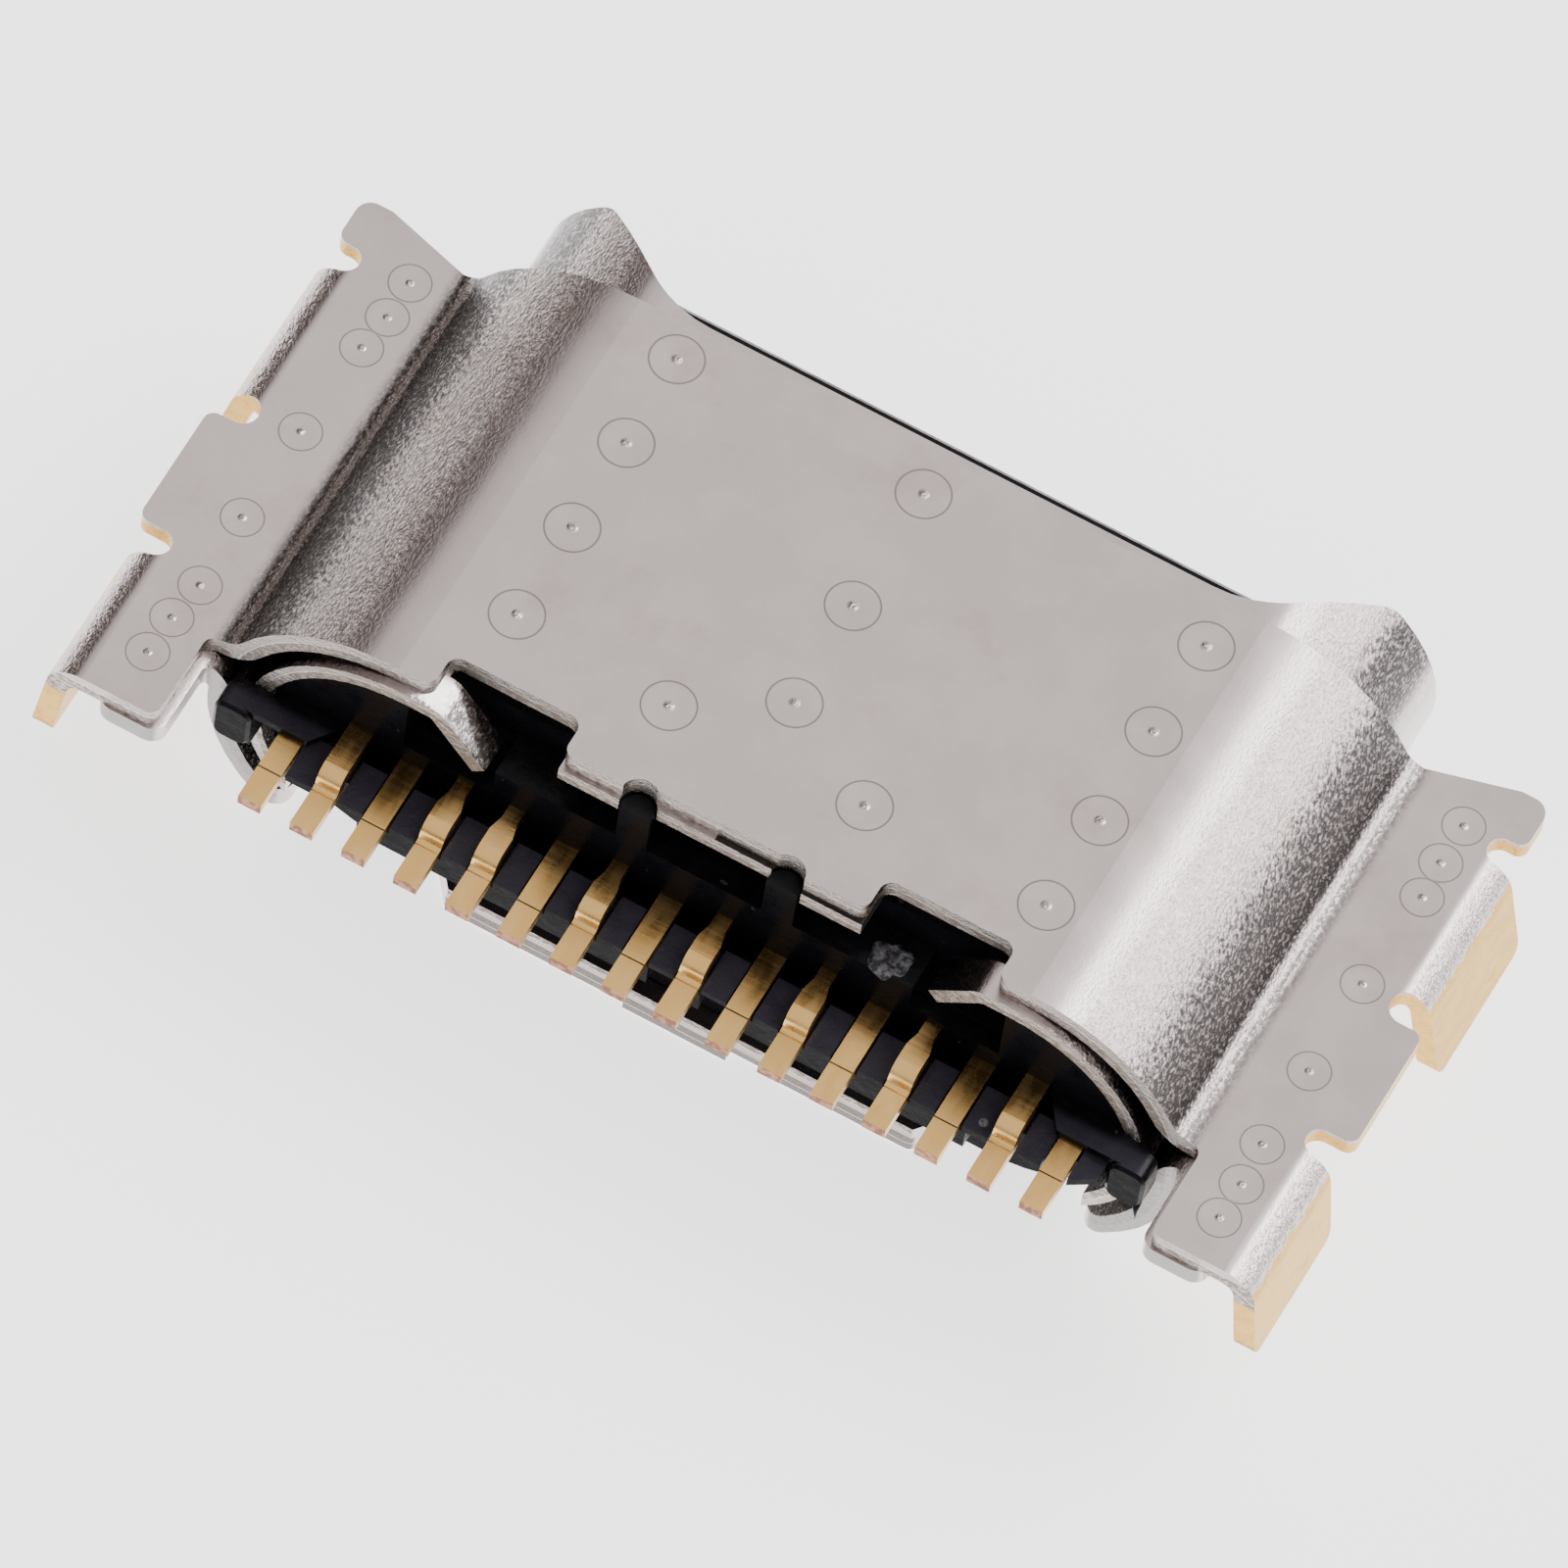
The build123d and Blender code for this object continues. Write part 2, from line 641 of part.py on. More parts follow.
# Tongue and insulator body: the second moulding, round both carriers and the middle plate
with BuildPart() as tongue_housing:
    with BuildSketch(plan(tongue_half)) as outline:
        box_sketch(-tongue_width / 2, tongue_width / 2, tongue_front, collar_front)
        latch_notches(tongue_width / 2)
        round_corner(outline, tongue_width / 2, tongue_front, tip_round)
    extrude(amount=tongue_thickness)
    tip_edges = tongue_housing.faces().sort_by(Axis.Y)[-1].edges().filter_by(Axis.X)
    chamfer(tip_edges, tongue_chamfer)
    with BuildSketch(across(stop_depth)):
        SlotOverall(mouth_width - 2 * body_clearance, mouth_height - 2 * body_clearance)
    extrude(amount=body_rear - stop_depth)
    with BuildSketch(across(collar_front)):
        SlotOverall(mouth_width - 2 * body_clearance, mouth_height - 2 * body_clearance)
        Rectangle(2 * collar_half_width, 2 * collar_half_height, mode=Mode.INTERSECT)
    extrude(amount=stop_depth - collar_front)
    block(mouth_width, body_low_rear, body_rear, -mouth_height, 0, Mode.SUBTRACT)
    block(pocket_outer, pocket_front, body_rear, pocket_floor, mouth_height, Mode.SUBTRACT)
    block(pocket_inner, pocket_front, body_rear, pocket_floor, ledge_height)
    with BuildSketch(plan(key_top)):
        bite_circles(bite_round - key_clearance)
        box_sketch(-notch_inner, notch_inner, body_rear, body_rear + bite_round, Mode.SUBTRACT)
    extrude(amount=key_top - ledge_height)

    with BuildSketch(plan(lug_top)):
        for side in (-1, 1):
            Polygon(
                (side * bar_inner, body_rear), (side * bar_reach, body_rear),
                (side * bar_reach, bar_rear), (side * bar_inner_rear, bar_rear), align=None,
            )
    extrude(amount=lug_top - tail_top)
    with BuildSketch(across(shell_rear_side + body_clearance)):
        pair_sketch(bar_inner_rear, lug_neck_reach, tail_top, lug_top)
        pair_sketch(lug_inner, lug_neck_reach, lug_underside, lug_top)
    extrude(amount=bar_rear - shell_rear_side - body_clearance)
    with BuildSketch(across(lower_side_rear + body_clearance)) as lug_outline:
        pair_sketch(lug_inner, lug_reach, lug_underside, lug_top)
        fillet(lug_outline.vertices(), lug_round)
    extrude(amount=lug_rear - lower_side_rear - body_clearance)
    lug_faces = tongue_housing.faces().filter_by(Axis.Y).sort_by(Axis.Y)[:2]
    chamfer(lug_faces.edges(), lug_chamfer)
    add(mid_plate.part, mode=Mode.SUBTRACT)
    add(upper_carrier.part, mode=Mode.SUBTRACT)
    add(lower_carrier.part, mode=Mode.SUBTRACT)
    for contact in contacts:
        add(contact, mode=Mode.SUBTRACT)
export(tongue_housing, "tongue_housing")
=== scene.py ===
import math

import bmesh
import bpy
from mathutils import Matrix, Vector, noise


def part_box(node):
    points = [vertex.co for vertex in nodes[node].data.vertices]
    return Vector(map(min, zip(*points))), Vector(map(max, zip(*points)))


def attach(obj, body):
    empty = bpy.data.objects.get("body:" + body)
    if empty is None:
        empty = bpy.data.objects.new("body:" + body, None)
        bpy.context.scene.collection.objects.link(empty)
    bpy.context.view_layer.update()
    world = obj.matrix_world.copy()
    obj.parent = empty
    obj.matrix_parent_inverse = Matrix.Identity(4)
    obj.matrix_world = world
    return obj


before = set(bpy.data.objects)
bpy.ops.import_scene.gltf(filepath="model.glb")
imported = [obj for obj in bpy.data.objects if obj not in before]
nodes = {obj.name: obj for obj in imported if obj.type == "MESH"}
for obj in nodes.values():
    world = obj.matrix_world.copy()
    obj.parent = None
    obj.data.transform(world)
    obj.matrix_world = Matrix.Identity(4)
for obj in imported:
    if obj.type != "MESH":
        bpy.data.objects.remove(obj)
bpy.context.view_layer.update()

# Sizes are in metres: a value in millimetres times this.
mm = 0.001

# Places shared with the solids, in millimetres
axis_height = 1.63
tail_rear = 5.45
front_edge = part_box("lower_contact_1")[0].y / mm + tail_rear
dome_place = 3.02
dome_height = 1.63
wing_height = 0.635
wing_start = 4.55
arc_place = 2.89
shell_height = 1.43
cover_sheet = 0.20
shell_sheet = 0.15

# The photograph's camera: direction from the connector, roll, distance, and field width at the object
camera_azimuth = math.radians(19.57)
camera_elevation = math.radians(59.34)
camera_roll = math.radians(10.32)
camera_distance = 204 * mm
field_width = 13.31 * mm
sensor_width = 36.0
aim_right = -1.3966 * mm
aim_up = -2.3199 * mm
clip_factor = 100

# Laser weld marks: X, depth behind the dome's front, and radius, in the order they were made
large_weld = 0.25
small_weld = 0.195
weld_marks = [
    *((*spot, large_weld) for spot in (
        (-2.48, 0.47), (-2.45, 1.42), (-2.44, 2.39), (-2.43, 3.38),
        (-0.06, 0.54), (-0.05, 1.82), (-0.02, 2.91), (-0.91, 3.49),
        (0.96, 3.48), (2.69, 0.60), (2.70, 1.57), (2.72, 2.57), (2.72, 3.53),
    )),
    *((*spot, small_weld) for spot in (
        (-5.00, 0.43), (-5.04, 1.21), (-5.00, 0.83), (-5.08, 2.21),
        (-5.09, 3.21), (-5.07, 3.98), (-5.12, 4.38), (-5.13, 4.78),
        (5.20, 0.44), (5.20, 0.86), (5.22, 1.24), (5.18, 2.25),
        (5.19, 3.23), (5.18, 4.06), (5.21, 4.49), (5.20, 4.87),
    )),
]
# A point further out than this share of a mark's radius isn't in the mark.
weld_limit = 1.03

# Dents in the right legs' outer faces: X, depth and height, all with one radius
leg_dents = [(5.93, 1.10, -0.22), (5.87, 4.40, -0.22)]
dent_radius = 0.09
# The inner share of a small ball where its mark is full
ball_core = 0.6

# Colours, linear. A pair is the two ends of one pattern.
satin_tones = (0.655, 0.583, 0.580), (0.690, 0.617, 0.612)
stain_tone = (0.58, 0.49, 0.45)
# Crease marks on the bends, partly a real creased texture and partly painted shade, since they are heavier
# on the left
crease_and_shade_tone = (0.34, 0.30, 0.28)
# Painted reflection: the near-black colour painted on the steep shoulders
shoulder_painted_reflection_tone = (0.050, 0.047, 0.048)
# Painted reflection: the dark colour painted at the foot of the shoulders, beside the wing
foot_painted_reflection_tone = (0.10, 0.095, 0.092)
cover_edge_tone = (0.48, 0.44, 0.42)
# Painted shade: the bottom cover's cut edges, under the tails, are painted dark grey, and lighter towards
# their ends
lip_painted_shade_tone = (0.16, 0.145, 0.14)
lip_end_tone = (0.30, 0.285, 0.28)
torn_edge_tone = (0.22, 0.18, 0.155)
# Painted highlight: the near-white line along the cut edges
rim_painted_highlight_tone = (0.88, 0.85, 0.83)
ring_tone = (0.22, 0.18, 0.16)
pit_tone = (0.2, 0.18, 0.17)
leg_golds = (0.62, 0.36, 0.065), (0.74, 0.46, 0.115)
leg_foot_tone = (0.20, 0.11, 0.05)
# Painted reflection: the near-black colour painted on the right tab's folded top, for the black moulding it
# reflects
right_tab_painted_reflection_tone = (0.02, 0.02, 0.02)
# Painted shade: the grey painted on the left tab's end, beyond its shining part
left_tab_end_painted_shade_tone = (0.45, 0.42, 0.41)
tail_golds = (0.84, 0.52, 0.17), (0.88, 0.57, 0.21)
# A crease line across the tails, its dark brown painted shade in the crease
tail_line_shade_tone = (0.32, 0.18, 0.07)
# Painted shade: the brown painted on the tails where they come out of the moulding
tail_root_painted_shade_tone = (0.34, 0.21, 0.09)
copper_tones = (0.16, 0.065, 0.035), (0.36, 0.17, 0.09)
body_blacks = (0.0025, 0.0025, 0.0035), (0.005, 0.005, 0.007)
# Painted reflection: the lighter blue-grey painted on the ribs' top faces
rib_top_reflection_blacks = (0.022, 0.020, 0.030), (0.033, 0.031, 0.043)
# Painted highlight: the pale colour of a small glint painted on the moulding
glint_tone = (0.16, 0.16, 0.18)
dust_tone = (0.06, 0.06, 0.065)
torn_blacks = (0.010, 0.010, 0.012), (0.15, 0.15, 0.165)
horizon_tone = (0.05, 0.045, 0.042)
sky_tone = (1.08, 1.02, 1.01)
left_wall_tone = (0.085, 0.072, 0.065)
left_glow_tone = (0.46, 0.365, 0.30)
window_tone = (6.5, 6.4, 6.35)

# The studio: where the sky brightens, and where the wall, its glow and the window are
sky_up = 0.10, 0.50
left_wall_across = -0.30, -0.58
left_glow_towards = -0.83, 0.48, 0.28
left_glow_reach = 0.20, 0.05
window_towards = 0.50, 0.48, 0.72
window_reach = 0.48, 0.26
floor_half = 0.6
floor_gap = 0.02 * mm
floor_tone = 0.9, 0.9, 0.9, 1
floor_roughness = 0.9
floor_glow = 2.0

# Depths of the fine relief in the materials, in millimetres
crease_relief = 0.014
grain_relief = 0.004
torn_relief = 0.014
dent_relief = 0.02
dish_relief = 0.003
pit_relief = 0.016
streak_relief = 0.0015
ladder_relief = 0.003
line_relief = 0.004
flow_relief = 0.010
fibre_relief = 0.0012
scar_relief = 0.03

# Where most of a noise pattern's values lie
noise_core = 0.35, 0.65
noise_span = 0.3, 0.7

# Ranges over which a layer comes in, from 0 to 1 or to the two shares that follow. "up" is the
# upward part of a face's normal, and "side" the distance from the middle of the row.
# Sheets' faces
stain_range = 0.54, 0.70, 0, 0.55
bend_begins_up = 0.995, 0.93
bend_ends_up = 0.05, 0.3
crease_lines = 0.56, 0.44
# How strongly the crease marks darken the left and right bends; the left is heavier as painted shade
crease_share_left, crease_share_right = 0.6, 0.35
feather_shift = -0.07, 0.07
# Where the painted dark reflection on the shoulders lies: by slope, by distance from the middle, and broken
# up by the crease noise
shoulder_begins_up = 0.82, 0.68
shoulder_ends_up = 0.30, 0.46
shoulder_side = 4.56, 4.50
shoulder_sparkle = 0.64, 0.48, 0.50, 0.96
# Where the painted dark reflection at the foot of the shoulders lies
foot_inner_side = 4.56, 4.60
foot_outer_side = 4.76, 4.62
foot_sparkle = 0.60, 0.45, 0.45, 0.9
feather_side = 4.9, 5.2
flat_roughness = 0.24, 0.30
bend_roughness = 0.13
flat_grain = 0.12

# Sheets' cut edges
torn_below = 0.42, 0.52
torn_flecks = 0.62, 0.42
# Where the painted highlight line runs in the cut edge, and how strong it is
rim_below, rim_width, rim_share = 0.47, 0.05, 0.7
rear_cut = 0.6, 0.85
cover_cut_up = 0.40, 0.28
# Where the painted shade on the bottom cover's cut edges gives way to the lighter end tone
lip_end_side = 3.0, 3.3
edge_roughness = 0.20, 0.5

# Gold on the legs
ragged_shift = -0.05, 0.05
gold_side = 5.36, 5.42
gold_up = 0.52, 0.38
gold_below = 0.16, 0.34
rear_normal = -0.8
leg_rear_depth = 5.2
rear_gold_height = 0.30, 0.20
foot_height = -0.30, -0.38
foot_flecks = 0.35, 0.6
leg_gold_roughness = 0.22, 0.40

# Weld marks
level_up = 0.85, 0.95
ring_middle, ring_width, ring_share = 0.96, 0.06, 0.85
dish_limit = 0.97
pit_range = 0.24, 0.04
pit_specks = 0.55, 0.40
pit_share = 0.8

# Folded tabs
# Where the painted reflection lies on the right tab
right_tab_side = 2.62, 2.56
right_tab_depth = 4.06, 4.09
right_tab_height = 0.5, 0.6
right_tab_up = 0.5, 0.6
right_tab_share = 0.93
left_tab_inner = 2.0, 2.1
left_tab_outer = 2.95, 2.85
left_tab_depth = 4.08, 4.12
left_tab_height = 0.3, 0.4
left_tab_up = 0.1, 0.2
# Where the left tab's shining part gives way to its end, which is painted grey as painted shade
left_tab_bright = 4.64, 4.50
left_tab_ragged = 0.25
towards_window = 0.39, 0.0, 0.92

# Tails
# The crease line across the tails, painted dark as painted shade, with a small relief
stepped_line, stepped_line_width = 5.07, 0.012
straight_line, straight_line_width = 5.10, 0.014
line_streaks = 0.3, 0.6
line_up = 0.8, 0.95
line_share = 0.65
# Where the painted shade at the tails' roots lies, broken up by the ladder noise
root_depth = 4.95, 4.50
root_ladder = 0.35, 0.6, 0.7, 1.0
root_share = 0.75
end_normal = -0.6, -0.9
end_depth = 5.38, 5.42
worn_range = 0.40, 0.60
tail_roughness = 0.22, 0.34
ladder_depth = 5.0, 4.6

# Mouldings
# Where the painted reflection on the ribs' top faces lies: by slope and depth
rib_up = 0.75, 0.95
rib_depth = 4.5, 4.62
# The painted glint on the moulding: its place, size and fibrous break-up
glint_place = 3.02, 4.93, 0.33
glint_radius = 0.05
glint_fibres = 0.35, 0.5
dust_range = 0.735, 0.76
dust_share = 0.6
rear_shine = -0.5, -0.9, 0.16, 0.03
moulding_roughness = 0.20, 0.42
torn_whitening = 0.42, 0.62
torn_shine = 0.4
torn_roughness = 0.3, 0.7

# Rounding of the pieces' edges, in millimetres, and the angle above which an edge is sharp
cover_edge = 0.02
plate_edge = 0.01
small_edge = 0.012
edge_segments = 2
sharp_angle = math.radians(35)

# The gate's torn patch, in millimetres: its place, size, ridge and unevenness
scar_middle = 1.71, 4.27, 0.90
scar_radius = 0.19
scar_rings, scar_spokes = 12, 40
scar_seed = 4.0
scar_lumps = 1.7
scar_unevenness = 0.35
ridge_place, ridge_width = 0.72, 0.16
scar_grain = 22
scar_grain_seed = Vector((3, 1, 7))
scar_base, scar_ridge, scar_tear = 0.012, 0.030, 0.022
scar_sink = 0.004

# The sliver of flash, from its root to its tip: X, depth and height
flash_rows = [
    [(4.38, 4.74, -0.06), (4.46, 4.70, -0.05), (4.47, 4.75, 0.03), (4.40, 4.775, 0.02)],
    [(4.41, 4.77, -0.11), (4.45, 4.76, -0.11), (4.46, 4.785, -0.08), (4.42, 4.79, -0.08)],
]
flash_tip = 4.455, 4.80, -0.20


def place(across, depth, height):
    """Point from X, depth behind the dome's front edge, and height above the mouth's axis."""
    return Vector((across, front_edge - depth, axis_height + height)) * mm


def make_camera():
    """A long lens at the photograph's angle, rolled as the photograph is."""
    back = Vector((
        math.sin(camera_azimuth) * math.cos(camera_elevation),
        -math.cos(camera_azimuth) * math.cos(camera_elevation),
        math.sin(camera_elevation),
    ))
    level = (-back).cross(Vector((0, 0, 1))).normalized()
    upright = level.cross(-back)
    right = math.cos(camera_roll) * level + math.sin(camera_roll) * upright
    up = -math.sin(camera_roll) * level + math.cos(camera_roll) * upright
    target = place(0, 0, wing_height) + aim_right * right + aim_up * up
    data = bpy.data.cameras.new("photo_camera")
    data.sensor_width = sensor_width
    data.lens = sensor_width * camera_distance / field_width
    data.clip_start = camera_distance / clip_factor
    data.clip_end = camera_distance * clip_factor
    camera = bpy.data.objects.new("photo_camera", data)
    turn = Matrix((right, up, back)).transposed().to_4x4()
    camera.matrix_world = Matrix.Translation(target + camera_distance * back) @ turn
    bpy.context.scene.collection.objects.link(camera)
    bpy.context.scene.camera = camera


class Shader:
    """A node tree under construction, with short calls for the nodes used here."""

    def __init__(self, tree):
        self.tree = tree

    def add(self, kind, **settings):
        """A node with these settings."""
        node = self.tree.nodes.new(kind)
        for key, value in settings.items():
            setattr(node, key, value)
        return node

    def join(self, source, target):
        """Links a socket to a socket, or sets the target's value."""
        if isinstance(source, bpy.types.NodeSocket):
            self.tree.links.new(source, target)
        else:
            target.default_value = source

    def math(self, operation, *values):
        """A math node's result."""
        node = self.add("ShaderNodeMath", operation=operation)
        for value, socket in zip(values, node.inputs):
            self.join(value, socket)
        return node.outputs[0]

    def product(self, *values):
        """Several values multiplied together."""
        total = values[0]
        for value in values[1:]:
            total = self.math("MULTIPLY", total, value)
        return total

    def split(self, vector):
        """The three parts of a vector."""
        node = self.add("ShaderNodeSeparateXYZ")
        self.join(vector, node.inputs[0])
        return node.outputs

    def gather(self, *parts):
        """A vector from its three parts."""
        node = self.add("ShaderNodeCombineXYZ")
        for part, socket in zip(parts, node.inputs):
            self.join(part, socket)
        return node.outputs[0]

    def distance(self, vector, point):
        """Distance from a vector to a fixed point."""
        node = self.add("ShaderNodeVectorMath", operation="DISTANCE")
        self.join(vector, node.inputs[0])
        self.join(point, node.inputs[1])
        return node.outputs["Value"]

    def spread(self, value, low, high, new_low=0.0, new_high=1.0):
        """value moved from one range to another, and held there."""
        node = self.add("ShaderNodeMapRange", interpolation_type="SMOOTHSTEP")
        for source, key in ((value, "Value"), (low, "From Min"), (high, "From Max"),
                            (new_low, "To Min"), (new_high, "To Max")):
            self.join(source, node.inputs[key])
        return node.outputs[0]

    def peak(self, value, middle, width):
        """1 at a middle value, falling to 0 a width away on both sides."""
        away = self.math("ABSOLUTE", self.math("SUBTRACT", value, middle))
        return self.spread(away, width, 0)

    def mix(self, share, first, second):
        """Two colours mixed."""
        node = self.add("ShaderNodeMix", data_type="RGBA")
        self.join(share, node.inputs[0])
        for colour, key in ((first, 6), (second, 7)):
            if not isinstance(colour, bpy.types.NodeSocket):
                colour = (*colour, 1)
            self.join(colour, node.inputs[key])
        return node.outputs[2]

    def blend(self, share, first, second):
        """Two values mixed."""
        node = self.add("ShaderNodeMix", data_type="FLOAT")
        for source, number in ((share, 0), (first, 2), (second, 3)):
            self.join(source, node.inputs[number])
        return node.outputs[0]


class Paint(Shader):
    """A material under construction. Its places are millimetres, in the words of the solids."""

    def __init__(self, name):
        self.material = bpy.data.materials.new(name)
        self.material.use_nodes = True
        super().__init__(self.material.node_tree)
        self.surface = self.tree.nodes["Principled BSDF"]
        scale = self.add("ShaderNodeVectorMath", operation="SCALE")
        self.join(self.add("ShaderNodeTexCoord").outputs["Object"], scale.inputs[0])
        scale.inputs["Scale"].default_value = 1 / mm
        self.where = scale.outputs[0]
        across, along, up = self.split(self.where)
        self.across = across
        self.side = self.math("ABSOLUTE", across)
        self.depth = self.math("SUBTRACT", front_edge, along)
        self.height = self.math("SUBTRACT", up, axis_height)
        self.point = self.gather(across, self.depth, self.height)
        self.normal = self.split(self.add("ShaderNodeNewGeometry").outputs["Normal"])

    def noise(self, per_mm, detail=3.0, roughness=0.55, stretch=(1, 1, 1), turn=0.0):
        """Noise whose features repeat this many times in a millimetre, turned in plan by degrees."""
        mapping = self.add("ShaderNodeMapping", vector_type="TEXTURE")
        self.join(self.where, mapping.inputs["Vector"])
        mapping.inputs["Rotation"].default_value = (0, 0, math.radians(turn))
        mapping.inputs["Scale"].default_value = [1 / (per_mm * part) for part in stretch]
        node = self.add("ShaderNodeTexNoise")
        self.join(mapping.outputs[0], node.inputs["Vector"])
        node.inputs["Scale"].default_value = 1.0
        node.inputs["Detail"].default_value = detail
        node.inputs["Roughness"].default_value = roughness
        return node.outputs["Fac"]

    def spot(self, across, depth, height, radius):
        """1 inside a small ball, falling to 0 at its edge."""
        away = self.distance(self.point, (across, depth, height))
        return self.spread(away, radius, radius * ball_core)

    def bump(self, height, depth_mm, below=None):
        """Normal from a height map, whose full range is this deep."""
        node = self.add("ShaderNodeBump")
        self.join(depth_mm * mm, node.inputs["Distance"])
        self.join(height, node.inputs["Height"])
        if below is not None:
            self.join(below, node.inputs["Normal"])
        return node.outputs[0]

    def lean(self, share, normal, towards):
        """Normal leant over towards a fixed direction by a share."""
        node = self.add("ShaderNodeMix", data_type="VECTOR")
        for source, number in ((share, 0), (normal, 4), (towards, 5)):
            self.join(source, node.inputs[number])
        unit = self.add("ShaderNodeVectorMath", operation="NORMALIZE")
        self.join(node.outputs[1], unit.inputs[0])
        return unit.outputs[0]

    def finish(self, colour, roughness, normal):
        """Joins the results to the surface."""
        self.join(colour, self.surface.inputs["Base Color"])
        self.join(roughness, self.surface.inputs["Roughness"])
        self.join(normal, self.surface.inputs["Normal"])
        return self.material

    def sheet_depth(self, middle, outer, wing=None):
        """Depth below the outer face of a sheet folded round the mouth, and of its wing."""
        beyond = self.math("MAXIMUM", self.math("SUBTRACT", self.side, middle), 0)
        radial = self.distance(self.gather(beyond, 0, self.height), (0, 0, 0))
        depth = self.math("SUBTRACT", outer, radial)
        if wing is None:
            return depth
        on_wing = self.math("GREATER_THAN", self.side, wing_start)
        return self.blend(on_wing, depth, self.math("SUBTRACT", wing, self.height))

    def weld_share(self):
        """Distance from the middle of the weld mark that a point is in, as a share of its radius."""
        flat = self.gather(self.across, self.depth, 0)
        share = 2.0
        for across, depth, radius in weld_marks:
            own = self.math("DIVIDE", self.distance(flat, (across, depth, 0)), radius)
            share = self.blend(self.math("LESS_THAN", own, weld_limit), share, own)
        return share


